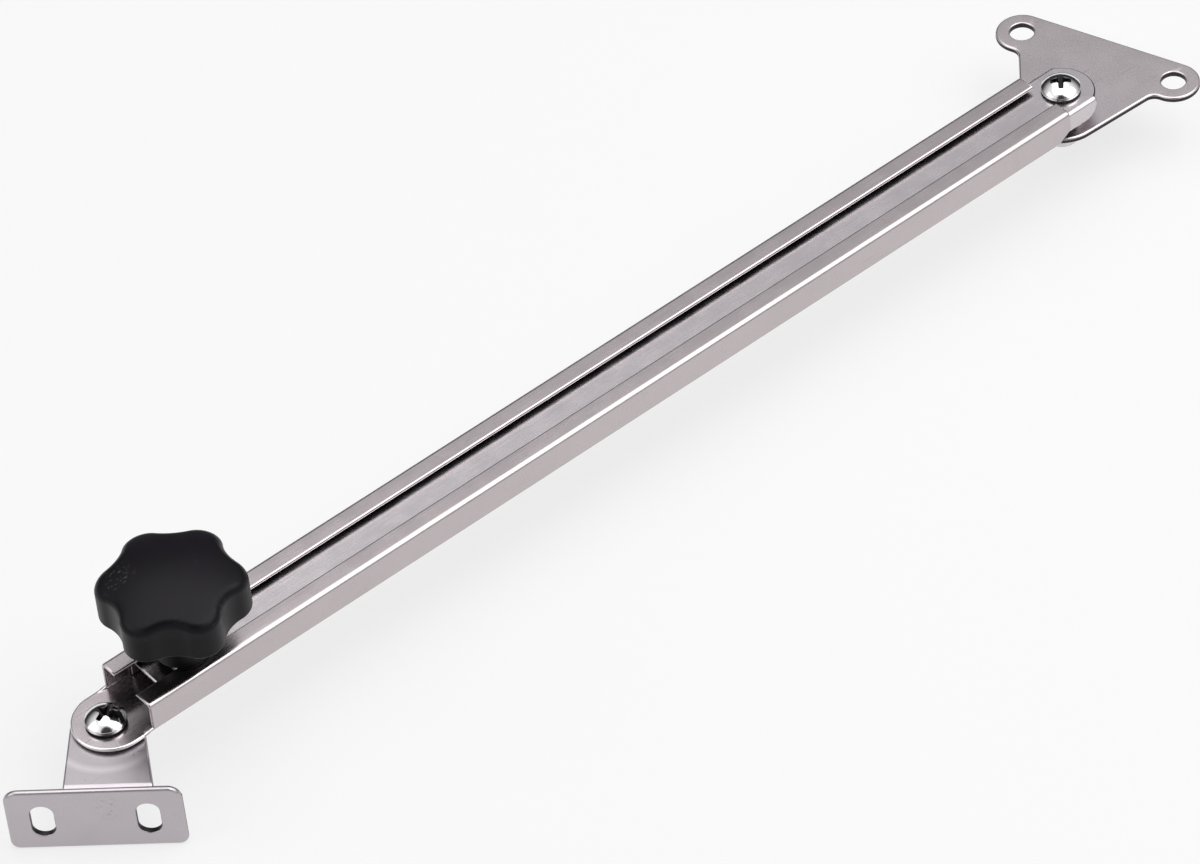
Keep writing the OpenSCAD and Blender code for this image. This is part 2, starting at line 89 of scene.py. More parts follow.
# How far below the dome a face lies that counts as the recess's
RECESS_MARK = 0.06
# How far the dome has dropped where the recess's wings end
RECESS_RIM_DROP = 0.44
RECESS_ROOT = 0.75
RECESS_HALF_T = 0.40
RECESS_FLARE = 0.17
RECESS_LIFT = 0.8
BRACKET_SCREW_TURN = BRACKET_TURN + 58
PLATE_SCREW_TURN = 50

# Washers, bush, lock nuts and their nylon rings
WASHER_R = 5.0
WASHER_T = 0.8
WASHER_EDGE_R = 0.12
SLIP_WASHER_R = 6.5
SLIP_WASHER_T = 0.4
BUSH_R = 4.5
NUT_HALF_W = 4.0
NUT_HEX_H = 3.6
NUT_COLLAR_H = 1.3
NUT_H = NUT_HEX_H + NUT_COLLAR_H
NUT_EDGE_R = 0.05
NUT_COLLAR_R = 3.5
NUT_MOUTH_R = 3.0
NUT_COLLAR_EDGE_R = 0.45
NYLON_R = 3.05
NYLON_EDGE_R = 0.08

# Clamp nut and end stop, which keep their solids
CLAMP_NUT_W = 10.0
STOP_HEAD_R = 3.0
STOP_HOLE_R = 1.5

# Outer channel: a tongue about the bracket's pivot, walls with lips, and a slanted far end
CHANNEL_W = 16.5
CHANNEL_H = 7.7
CHANNEL_T = 0.9
CHANNEL_BEND = 1.1
CHANNEL_EDGE_R = 0.43
SLOT_W = 7.2
WALL_START = 5.8
WALL_FADE_L = 2.4
TONGUE_SHIFT = 1.2
CHANNEL_END = PIVOT_SPAN - BUSH_R - STOP_GAP
STOP_X = KNOB_X + TRAVEL + CLAMP_NUT_W / 2 + STOP_GAP + STOP_HEAD_R
END_CUT_L = 4.5
END_CUT_H = 2.3
END_CUT_EASE = 0.5

# Sliding rail, from its start under the knob to its round end about the plate's pivot
RAIL_SIDE_GAP = 0.15
RAIL_TOP_GAP = 0.9
RAIL_FLOOR_GAP = 0.2
RAIL_LEAD = 8.7
RAIL_W = CHANNEL_W - 2 * CHANNEL_T - 2 * RAIL_SIDE_GAP
RAIL_T = 0.9
RAIL_BEND = 1.0
RAIL_EDGE_R = 0.36
RAIL_TOP = CHANNEL_H - CHANNEL_T - RAIL_TOP_GAP
RAIL_FOOT = CHANNEL_T + RAIL_FLOOR_GAP
RAIL_START = KNOB_X - RAIL_LEAD
RAIL_END_R = 7.4
RAIL_CORNER_R = 3.6

# Knob and its washer, with heights from the channel's underside
KNOB_WASHER_R = 5.7
KNOB_WASHER_T = 0.6
KNOB_SEAT = CHANNEL_H + SEAT_GAP + KNOB_WASHER_T
KNOB_H = 19.5
KNOB_TOP = KNOB_SEAT + KNOB_H
SKIRT_H = 9.1
SKIRT_FOOT = KNOB_TOP - SKIRT_H
SKIRT_T = 2.2
KNOB_R = 15.5
KNOB_WAIST_R = 13.0
KNOB_LOBES = 6
LOBE_R = 5.0
KNOB_TURN = 21.5
KNOB_ROOF_T = 3.0
KNOB_EDGE_R = 1.6
KNOB_DOME_R = 40.0
KNOB_FLAT_R = 1.0
KNOB_FOOT_R = 0.6
KNOB_RIB_T = 1.6
HUB_R = 6.0
HUB_EDGE_R = 0.5
KNOB_EDGE_STEPS = 8
LOBE_STEPS = 22
VALLEY_STEPS = 16
# The dome's rings first keep the lobes' shape, then shrink towards the middle
DOME_INSETS = (2.2, 2.9, 3.6, 4.3)
DOME_SCALES = (0.85, 0.7, 0.55, 0.4, 0.25, 0.1)

# The knob's stud
STUD_FLOOR_GAP = 0.4
STUD_R = 3.0
STUD_HOLE_R = STUD_R + HOLE_GAP
STUD_TIP = CHANNEL_T + STUD_FLOOR_GAP
STUD_HOLD = 12.0
STUD_PITCH = 1.0
STUD_THREAD = 0.4
STUD_CHAMFER = 0.6

# Angle bracket: the leg about the pivot, and the flange with its slots
BRACKET_T = 1.5
BRACKET_REACH = 17.3
BRACKET_BEND_IN = 0.5
LEG_TOP = -SLIP_WASHER_T - 2 * SEAT_GAP
LEG_UNDER = LEG_TOP - BRACKET_T
LEG_EDGE_R = 0.5
LEG_END_R = 7.6
LEG_NEAR_W = 7.8
LEG_FAR_W = 10.4
FLANGE_W = 36.0
FLANGE_H = 16.0
FLANGE_SHIFT = -2.0
FLANGE_EDGE_R = 0.68
FLANGE_CORNER_R = 2.0
FLANGE_TOP_R = 3.0
# The flange's own height ends below the leg's face, and its rounded top runs on nearly to it
FLANGE_DROP = 0.5
SHOULDER_DROP = 0.12
HOLE_EDGE_R = 0.3
SLOT_PITCH = 21.4
SLOT_HOLE_W = 4.8
SLOT_HOLE_L = 8.6

# Hinge plate: a round tip about its pivot and two round ears
PLATE_GAP = 0.4
PLATE_T = 1.5
PLATE_TOP = -PLATE_GAP
PLATE_EDGE_R = 0.5
HOLE_PITCH = 37.1
HOLE_LINE = 19.5
PLATE_SHIFT = -1.3
HOLE_R = 2.75
EAR_R = 5.8
TIP_R = 8.8
EAR_CORNER = 16.4
EAR_FILLET_R = 2.5

# The bracket's pivot at the channel's underside, seen from the middle of the mounting face
TURN_COS = math.cos(math.radians(BRACKET_TURN))
TURN_SIN = math.sin(math.radians(BRACKET_TURN))
PIVOT_AT = (-FLANGE_SHIFT * TURN_COS - BRACKET_REACH * TURN_SIN,
            BRACKET_REACH * TURN_COS - FLANGE_SHIFT * TURN_SIN,
            FLANGE_DROP + FLANGE_H / 2 - LEG_TOP)

# Heights in millimetres from the channel's underside
BRACKET_NUT_TOP = LEG_UNDER - WASHER_T
PLATE_NUT_TOP = PLATE_TOP - PLATE_T - SEAT_GAP - WASHER_T

# Marks in millimetres from the middle of the mounting face: the worst scuffs of use on the knob's
# top; and dark specks on the channel's floor beside its screw and stains on the bracket, with how
# far each reaches
SCUFF_AT = (25.8, 18.4, 35.8)
CHANNEL_DARK_SPOTS = (((20.3, 12.5, 9.9), 4.5), ((22.0, 10.0, 9.9), 3.0))
BRACKET_STAINS = (((13.0, 3.0, 8.5), 3.2), ((2.0, -2.0, 3.5), 4.0), ((16.5, 1.0, 8.5), 2.5))
# A paler ring on the bracket about the pivot: a painted reflection of the tongue's edge
SHEEN_RING_R = 11.6
SHEEN_RING_W = 1.3
# Heights above the pivot between which the knob's sides, darker with painted shade, turn to its
# top, paler with painted light
KNOB_SHADED_SIDE_Z = 23.7
KNOB_LIT_TOP_Z = 25.0

# The camera and the stage, in metres, and the lens in millimetres
CAMERA_AT = (-0.429190, -0.782752, 0.978428)
CAMERA_RIGHT = (0.765075, -0.639750, -0.073349)
CAMERA_UP = (0.494075, 0.510144, 0.704020)
CAMERA_BACK = (-0.412978, -0.574868, 0.706383)
CAMERA_LENS = 198.153
SENSOR_W = 36.0
STAGE_MIDDLE = (0.12, 0, 0)
FLOOR_Z = -0.0081
FLOOR_HALF = 0.9
# Direction of the brightest sky in the reflections
BRIGHT_SKY = (-0.25, -0.45, 0.86)
# Each lamp's name, its direction and distance from the stage's middle, its size and its watts
LAMPS = (("front_box", (0.413, -0.430, 0.80), 1.3, (1.1, 1.0), 6.5),
         ("top_box", (0.10, 0.1, 1.0), 1.4, (1.5, 1.5), 8.5),
         ("left_box", (-0.80, 0.35, 0.6), 1.3, (0.8, 0.8), 2.2))


def arc(cx, cy, r, start, end, steps):
    """Points of an arc, its ends included, with angles in degrees."""
    points = []
    for k in range(steps + 1):
        a = math.radians(start + (end - start) * k / steps)
        points.append((cx + r * math.cos(a), cy + r * math.sin(a)))
    return points


def ring_points(cx, cy, r, steps=HOLE_STEPS):
    """Points of a full circle."""
    return arc(cx, cy, r, 0, 360, steps)[:-1]


def obround(cx, cy, w, l, steps=16):
    """A slot with round ends, its length along the second axis."""
    reach = (l - w) / 2
    top = arc(cx, cy + reach, w / 2, 0, 180, steps)
    return top + arc(cx, cy - reach, w / 2, 180, 360, steps)


def inset_loop(loop, d):
    """A closed loop moved to its left side by d, with mitred corners."""
    moved = []
    n = len(loop)
    for i in range(n):
        before = Vector(loop[i]) - Vector(loop[i - 1])
        after = Vector(loop[(i + 1) % n]) - Vector(loop[i])
        n1 = Vector((-before.y, before.x)).normalized()
        n2 = Vector((-after.y, after.x)).normalized()
        middle = n1 + n2
        scale = d / max(MITRE_LIMIT, 1 + n1.dot(n2))
        moved.append((loop[i][0] + middle.x * scale, loop[i][1] + middle.y * scale))
    return moved


def clean_loop(loop):
    """The loop without repeated points."""
    kept = []
    for p in loop:
        if not kept or math.dist(p, kept[-1]) > NEARLY_ZERO:
            kept.append(p)
    if math.dist(kept[0], kept[-1]) <= NEARLY_ZERO:
        kept.pop()
    return kept


def unit(value):
    """The value held between 0 and 1."""
    return min(1.0, max(0.0, value))


def edge_round(radius, steps):
    """How far in and how far down a rounded edge runs, from the side to the flat face."""
    quarter = []
    for k in range(steps + 1):
        a = math.pi / 2 * k / steps
        quarter.append((radius * (1 - math.cos(a)), radius * (1 - math.sin(a))))
    return quarter


def slab(outline, holes, low, high, edge, steps=3, hole_edge=None):
    """Closed flat solid between two heights, with its rims rounded by the radius edge, and those
    of its holes by hole_edge. The outline and the holes are all given anticlockwise."""
    bm = bmesh.new()
    if hole_edge is None:
        hole_edge = edge
    loops = [(clean_loop(outline), edge)] + [(clean_loop(h)[::-1], hole_edge) for h in holes]
    rims = {low: [], high: []}
    for loop, radius in loops:
        quarter = edge_round(radius, steps)
        profile = [(inset, low + drop) for inset, drop in quarter[::-1]]
        profile += [(inset, high - drop) for inset, drop in quarter]
        rings = []
        for inset, z in profile:
            rings.append([bm.verts.new((x, y, z)) for x, y in inset_loop(loop, inset)])
        n = len(loop)
        for lower, upper in zip(rings, rings[1:]):
            for i in range(n):
                j = (i + 1) % n
                bm.faces.new((lower[i], lower[j], upper[j], upper[i]))
        rims[low].append(rings[0])
        rims[high].append(rings[-1])
    for z, rings in rims.items():
        edges = []
        for ring in rings:
            for i in range(len(ring)):
                edges.append(bm.edges.get((ring[i - 1], ring[i])))
        normal = (0, 0, 1) if z == high else (0, 0, -1)
        bmesh.ops.triangle_fill(bm, edges=edges, use_beauty=True, normal=normal)
    return bm


def cut_lines(bm, axis, values):
    """Adds edges where the planes axis = value cross the mesh, so that it can fold there."""
    normal = [0, 0, 0]
    normal[axis] = 1
    for value in values:
        point = [0, 0, 0]
        point[axis] = value
        geometry = bm.verts[:] + bm.edges[:] + bm.faces[:]
        bmesh.ops.bisect_plane(bm, geom=geometry, dist=1e-5, plane_co=point, plane_no=normal)


def lathe(profile, steps):
    """Closed body of revolution about Z from (radius, height) points; radius 0 makes a pole."""
    bm = bmesh.new()
    rings = []
    for r, z in profile:
        if r < NEARLY_ZERO:
            rings.append([bm.verts.new((0, 0, z))])
        else:
            rings.append([bm.verts.new((x, y, z)) for x, y in ring_points(0, 0, r, steps)])
    join_rings(bm, rings)
    return bm


def join_rings(bm, rings):
    """Walls between rings of as many corners, or between a ring and a single point."""
    for lower, upper in zip(rings, rings[1:]):
        n = max(len(lower), len(upper))
        for i in range(n):
            j = (i + 1) % n
            corners = [lower[i % len(lower)], lower[j % len(lower)]]
            corners += [upper[j % len(upper)], upper[i % len(upper)]]
            bm.faces.new(list(dict.fromkeys(corners)))


def rounded(points, radius, steps=3):
    """An open profile whose inner corners are rounded, by less than half of the sides there."""
    out = [points[0]]
    for before, corner, after in zip(points, points[1:], points[2:]):
        c = Vector(corner)
        to_before = Vector(before) - c
        to_after = Vector(after) - c
        r = min(radius, to_before.length * 0.45, to_after.length * 0.45)
        p0 = c + to_before.normalized() * r
        p2 = c + to_after.normalized() * r
        for k in range(steps + 1):
            t = k / steps
            p = p0 * (1 - t) ** 2 + c * (2 * t * (1 - t)) + p2 * t ** 2
            out.append((p.x, p.y))
    out.append(points[-1])
    return out


def threaded(r, low, high, pitch, depth, chamfer):
    """A rod about Z with a helical thread, a chamfered lower tip and flat ends."""
    bm = bmesh.new()
    rings = []
    rows = math.ceil((high - low) / pitch * ROWS_PER_PITCH)
    for row in range(rows + 1):
        z = low + (high - low) * row / rows
        limit = r - max(0.0, chamfer - (z - low))
        ring = []
        for k in range(THREAD_STEPS):
            turn = ((z - low) / pitch - k / THREAD_STEPS) % 1.0
            # A groove a little narrower than the pitch leaves a thin flat crest
            groove = depth * max(0.0, 1 - abs(turn - 0.5) * 2.6)
            here = min(limit, r - groove)
            a = 2 * math.pi * k / THREAD_STEPS
            ring.append(bm.verts.new((here * math.cos(a), here * math.sin(a), z)))
        rings.append(ring)
    join_rings(bm, [[bm.verts.new((0, 0, low))]] + rings + [[bm.verts.new((0, 0, high))]])
    return bm


def mesh_from(bm, name):
    """A mesh whose faces all look outwards."""
    bmesh.ops.recalc_face_normals(bm, faces=bm.faces[:])
    mesh = bpy.data.meshes.new(name)
    bm.to_mesh(mesh)
    bm.free()
    return mesh


def make_object(name, bm, place=Matrix.Identity(4), sharp=SHARP):
    """A smooth-shaded object in metres from a mesh in millimetres, its place kept in its mesh."""
    mesh = mesh_from(bm, name)
    mesh.transform(Matrix.Scale(MM, 4) @ Matrix.Translation(PIVOT_AT) @ place)
    obj = bpy.data.objects.new(name, mesh)
    bpy.context.scene.collection.objects.link(obj)
    smooth(obj, sharp)
    return obj


def smooth(obj, sharp):
    """Smooth shading, with edges kept sharp where faces meet at more than sharp degrees."""
    mesh = obj.data
    mesh.shade_smooth()
    mesh.set_sharp_from_angle(angle=math.radians(sharp))
    weighted = obj.modifiers.new("weighted_normals", "WEIGHTED_NORMAL")
    weighted.weight = 80
    weighted.keep_sharp = True


def paint(obj, chosen, index=1):
    """Gives another material of a piece to the faces that chosen(centre, normal) picks, with the
    centre in millimetres from the bracket's pivot: 1 for the dark one, which is painted shade and
    also dull cut edges, and 2 for the pale one, which is a painted highlight. The normal's parts
    tell how far a face is from level or upright."""
    for face in obj.data.polygons:
        centre = face.center / MM - Vector(PIVOT_AT)
        if chosen(centre, face.normal):
            face.material_index = index


def merge(parts):
    """One mesh that holds several closed shells."""
    bm = bmesh.new()
    for part in parts:
        mesh = mesh_from(part, "part")
        bm.from_mesh(mesh)
        bpy.data.meshes.remove(mesh)
    return bm


def combine(name, base, tool, operation):
    """Exact union, difference or intersection of two meshes, as a new bmesh."""
    objects = []
    for key, bm in (("a", base), ("b", tool)):
        obj = bpy.data.objects.new(name + key, mesh_from(bm, name + key))
        bpy.context.scene.collection.objects.link(obj)
        objects.append(obj)
    boolean = objects[0].modifiers.new("boolean", "BOOLEAN")
    boolean.operation = operation
    boolean.solver = "EXACT"
    boolean.object = objects[1]
    depsgraph = bpy.context.evaluated_depsgraph_get()
    result = bmesh.new()
    result.from_object(objects[0], depsgraph)
    for obj in objects:
        mesh = obj.data
        bpy.data.objects.remove(obj)
        bpy.data.meshes.remove(mesh)
    return result


def turned(degrees, x=0.0):
    """Placement in millimetres: a turn about Z, then a move along X."""
    return Matrix.Translation((x, 0, 0)) @ Matrix.Rotation(math.radians(degrees), 4, "Z")


# Sheet pieces

def bend_lines(start, length, steps=BEND_STEPS):
    """Where a bend's folds cross the blank."""
    return [start + length * k / steps for k in range(steps + 1)]


def fold(u, h, radius_mid, t, turn):
    """Where a point of a sheet goes past the start of a bend: distance out and rise, for
    u along the sheet's middle, h above its lower face, and a bend of turn radians."""
    length = radius_mid * math.pi / 2
    off = h - t / 2
    if turn < NEARLY_ZERO:
        return u, h
    radius = length / turn
    along = min(u, length)
    a = along / radius
    out = radius * math.sin(a) - off * math.sin(a)
    rise = t / 2 + radius * (1 - math.cos(a)) + off * math.cos(a)
    rest = u - along
    return out + rest * math.cos(a), rise + rest * math.sin(a)


def build_channel():
    """A blank with a tongue, its walls and lips folded up and its walls fading into the tongue."""
    mid = CHANNEL_BEND - CHANNEL_T / 2
    flat = CHANNEL_W / 2 - CHANNEL_BEND
    bend = mid * math.pi / 2
    wall = CHANNEL_H - 2 * CHANNEL_BEND
    lip = flat - SLOT_W / 2
    s1 = flat + bend
    s2 = s1 + wall
    s3 = s2 + bend
    s4 = s3 + lip
    half = CHANNEL_W / 2
    # The far end is slanted below, so the blank narrows from the walls to the floor, with a
    # small ease where the slant starts
    cut_s = s1 + END_CUT_H - CHANNEL_BEND
    ease = END_CUT_EASE * 0.3
    cut_end = [(CHANNEL_END, cut_s + END_CUT_EASE), (CHANNEL_END - ease, cut_s + ease)]
    cut_end += [(CHANNEL_END - END_CUT_L * (1 - CHANNEL_BEND / END_CUT_H), s1)]
    cut_end += [(CHANNEL_END - END_CUT_L * (1 - CHANNEL_T / 2 / END_CUT_H), flat)]
    outline = [(WALL_START, -s4), (CHANNEL_END, -s4)]
    outline += [(x, -s) for x, s in cut_end] + cut_end[::-1]
    outline += [(CHANNEL_END, s4), (WALL_START, s4), (WALL_START, half)]
    outline += arc(TONGUE_SHIFT, 0, half, 90, 270, 64)
    outline += [(WALL_START, -half)]
    holes = [ring_points(0, 0, CLOSE_HOLE_R), ring_points(STOP_X, 0, STOP_HOLE_R, 24)]
    bm = slab(outline, holes, 0, CHANNEL_T, CHANNEL_EDGE_R, 5)
    lines = bend_lines(flat, bend) + bend_lines(s2, bend)
    cut_lines(bm, 1, lines + [-v for v in lines])
    cut_lines(bm, 0, bend_lines(WALL_START, -WALL_FADE_L)[1:])
    quarter = math.pi / 2
    for v in bm.verts:
        x, s, h = v.co
        side = 1 if s >= 0 else -1
        s = abs(s)
        if s <= flat:
            continue
        # The walls' bend fades out towards the tongue
        share = unit((x - WALL_START + WALL_FADE_L) / WALL_FADE_L)
        share = share * share * (3 - 2 * share)
        if s <= s2:
            out, rise = fold(s - flat, h, mid, CHANNEL_T, quarter * share)
            v.co = (x, side * (flat + out), rise)
            continue
        # The lips turn in over the rail
        a = unit((s - s2) / bend) * quarter
        radius = CHANNEL_BEND - h
        rest = max(0.0, s - s3)
        out = flat + radius * math.cos(a) - rest
        rise = CHANNEL_H - CHANNEL_BEND + radius * math.sin(a)
        v.co = (x, side * out, rise)
    obj = make_object("slotted_channel", bm)
    lip_foot = CHANNEL_H - CHANNEL_T - SEAT_GAP
    # Painted shade: the near lip's cut edge beside the slot, and the lips' undersides, are painted
    # dark like the shaded gap over the rail
    paint(obj, lambda c, n: c.z > lip_foot and n.y > 0.35 and -SLOT_W < c.y < 0)
    paint(obj, lambda c, n: c.z > lip_foot and n.z < -0.5)

    def tongue_edge(c, n):
        """Whether a face is on the tongue's cut edge, from its upper rounding down."""
        outside = c.x < WALL_START - WALL_FADE_L and math.hypot(c.x, c.y) > half / 2
        return outside and -0.6 < n.z < 0.97

    # Painted highlight: the tongue's cut edge gets the pale material
    paint(obj, tongue_edge, 2)
    return obj


def build_rail():
    """An upturned U whose web ends in a round tongue past the walls."""
    mid = RAIL_BEND - RAIL_T / 2
    flat = RAIL_W / 2 - RAIL_BEND
    bend = mid * math.pi / 2
    s1 = flat + bend
    s2 = s1 + RAIL_TOP - RAIL_BEND - RAIL_FOOT
    a0 = math.degrees(math.asin(flat / RAIL_END_R))
    wall_end = PIVOT_SPAN + math.sqrt(RAIL_END_R ** 2 - flat ** 2)
    r = RAIL_CORNER_R
    outline = [(RAIL_START, -s2)]
    outline += arc(wall_end - r, -s2 + r, r, 270, 360, 10)
    outline += arc(PIVOT_SPAN, 0, RAIL_END_R, -a0, a0, 48)
    outline += arc(wall_end - r, s2 - r, r, 0, 90, 10)
    outline += [(RAIL_START, s2)]
    holes = [ring_points(PIVOT_SPAN, 0, FREE_HOLE_R), ring_points(KNOB_X, 0, STUD_HOLE_R)]
    bm = slab(outline, holes, 0, RAIL_T, RAIL_EDGE_R, 5, HOLE_EDGE_R)
    lines = bend_lines(flat, bend)
    cut_lines(bm, 1, lines + [-v for v in lines])
    web = RAIL_TOP - RAIL_T
    for v in bm.verts:
        x, s, h = v.co
        side = 1 if s >= 0 else -1
        s = abs(s)
        if s <= flat:
            v.co.z = web + h
            continue
        a = unit((s - flat) / bend) * math.pi / 2
        radius = RAIL_BEND - RAIL_T + h
        rest = max(0.0, s - s1)
        out = flat + radius * math.sin(a)
        rise = RAIL_TOP - RAIL_BEND + radius * math.cos(a) - rest
        v.co = (x, side * out, rise)
    obj = make_object("sliding_rail", bm)
    # Painted shade: the round end's cut edge is painted dark, as the shadow gap beneath it
    paint(obj, lambda c, n: c.x > PIVOT_SPAN and c.z > web and n.x > 0.25 and abs(n.z) < 0.9)
    return obj


def build_bracket():
    """A flared leg that bends down into the flange with its two upright slots."""
    outer = BRACKET_BEND_IN + BRACKET_T
    s0 = BRACKET_REACH - outer
    bend = (BRACKET_BEND_IN + BRACKET_T / 2) * math.pi / 2
    s1 = s0 + bend
    near = -LEG_NEAR_W
    far = LEG_FAR_W
    # The leg ends inside the flange, a little below the bend
    leg_end = s1 + 0.6
    outline = arc(0, 0, LEG_END_R, 180, 360, 48)
    outline += [(far, s0), (far, leg_end), (near, leg_end), (near, s0)]
    leg = slab(outline, [ring_points(0, 0, FREE_HOLE_R)], 0, BRACKET_T, LEG_EDGE_R, 4)
    cut_lines(leg, 1, bend_lines(s0, bend, 8))
    for v in leg.verts:
        u, s, h = v.co
        a = unit((s - s0) / bend) * math.pi / 2
        radius = BRACKET_BEND_IN + h
        rest = max(0.0, s - s1)
        along = min(s, s0)
        out = -along - radius * math.sin(a)
        v.co = (u, out, LEG_TOP - outer + radius * math.cos(a) - rest)
    foot = LEG_TOP - FLANGE_DROP - FLANGE_H
    middle = foot + FLANGE_H / 2
    shoulder = LEG_TOP - SHOULDER_DROP
    left = FLANGE_SHIFT - FLANGE_W / 2
    right = FLANGE_SHIFT + FLANGE_W / 2
    r = FLANGE_CORNER_R
    top_r = FLANGE_TOP_R
    outline = arc(right - r, foot + r, r, 270, 360, 10)
    outline += arc(right - top_r, shoulder - top_r, top_r, 0, 90, 14)
    outline += arc(left + top_r, shoulder - top_r, top_r, 90, 180, 14)
    outline += arc(left + r, foot + r, r, 180, 270, 10)
    slots = [FLANGE_SHIFT + side * SLOT_PITCH / 2 for side in (-1, 1)]
    holes = [obround(x, middle, SLOT_HOLE_W, SLOT_HOLE_L) for x in slots]
    flange = slab(outline, holes, 0, BRACKET_T, FLANGE_EDGE_R, 6, HOLE_EDGE_R)
    for v in flange.verts:
        x, z, depth = v.co
        v.co = (x, depth - BRACKET_REACH, z)
    joined = combine("bracket", leg, flange, "UNION")
    obj = make_object("mounting_bracket", joined, turned(BRACKET_TURN))
    back = Matrix.Rotation(math.radians(-BRACKET_TURN), 3, "Z")

    def cut_edge(c, n):
        """Whether a face is a side of the leg, an end of the flange or a wall of a slot."""
        at = back @ c
        facing = back @ n
        if at.y > -s0:
            return abs(n.z) < 0.5
        aside = min(abs(at.x - x) for x in slots) - SLOT_HOLE_W / 2
        above = abs(at.z - middle) - SLOT_HOLE_L / 2
        in_slot = max(aside, above) < 0.1
        return abs(facing.x) > 0.93 or (in_slot and abs(facing.y) < 0.6)

    # Painted dark: the leg's sides, the flange's ends and the slots' walls, partly their rough cut
    # finish and partly painted shade
    paint(obj, cut_edge)
    return obj


def plate_side(shift):
    """One side of the plate from its ear's crown to the tip, and where it meets the tip."""
    foot = HOLE_LINE - EAR_R
    corner = Vector((EAR_CORNER + shift, foot))
    a = math.atan2(corner.y, corner.x) - math.acos(TIP_R / corner.length)
    touch = Vector((TIP_R * math.cos(a), TIP_R * math.sin(a)))
    slope = (touch - corner).normalized()
    run = EAR_FILLET_R / math.tan(math.acos(slope.x) / 2)
    slope_deg = math.degrees(math.atan2(slope.y, slope.x)) % 360
    side = arc(corner.x + run, foot - EAR_FILLET_R, EAR_FILLET_R, slope_deg - 90, 90, 14)
    side += arc(HOLE_PITCH / 2 + shift, HOLE_LINE, EAR_R, -90, 90, 32)
    return side, math.degrees(a)


def build_plate():
    """A flat plate with a round tip about the far pivot and two round ears with holes."""
    right, right_deg = plate_side(PLATE_SHIFT)
    left, left_deg = plate_side(-PLATE_SHIFT)
    tip = arc(0, 0, TIP_R, -180 - left_deg, right_deg, 48)
    outline = right + [(-x, y) for x, y in left[::-1]] + tip
    holes = [ring_points(0, 0, CLOSE_HOLE_R)]
    for side in (-1, 1):
        holes.append(ring_points(PLATE_SHIFT + side * HOLE_PITCH / 2, HOLE_LINE, HOLE_R))
    bm = slab(outline, holes, PLATE_TOP - PLATE_T, PLATE_TOP, PLATE_EDGE_R, 5, HOLE_EDGE_R)
    obj = make_object("lid_plate", bm, turned(PLATE_TURN, PIVOT_SPAN))
    # Painted dark: the plate's cut edges and hole walls, partly their rough cut finish and partly
    # painted shade
    paint(obj, lambda c, n: abs(n.z) < 0.45)
    return obj


# Knob

def star_loop(inset):
    """The knob's lobed outline, drawn in by inset: arcs of lobes and valleys that touch."""
    step = 360 / KNOB_LOBES
    at = KNOB_R - LOBE_R
    c = math.cos(math.radians(step / 2))
    # The valley's radius for which its arc passes the waist and touches the lobes beside it
    top = KNOB_WAIST_R ** 2 + at ** 2 - LOBE_R ** 2 - 2 * KNOB_WAIST_R * at * c
    valley_r = top / (2 * (LOBE_R - KNOB_WAIST_R + at * c))
    valley_at = KNOB_WAIST_R + valley_r
    reach = LOBE_R + valley_r
    lobe_half = math.degrees(math.acos((at ** 2 + reach ** 2 - valley_at ** 2) / (2 * at * reach)))
    lobe_sweep = 180 - lobe_half
    valley_sweep = lobe_sweep - step / 2
    loop = []
    for i in range(KNOB_LOBES):
        a = math.radians(i * step)
        b = math.radians((i + 0.5) * step)
        lobe = arc(at * math.cos(a), at * math.sin(a), LOBE_R - inset,
                   i * step - lobe_sweep, i * step + lobe_sweep, LOBE_STEPS)
        start = (i + 0.5) * step + 180
        valley = arc(valley_at * math.cos(b), valley_at * math.sin(b), valley_r + inset,
                     start + valley_sweep, start - valley_sweep, VALLEY_STEPS)
        loop += lobe[:-1] + valley[:-1]
    return loop


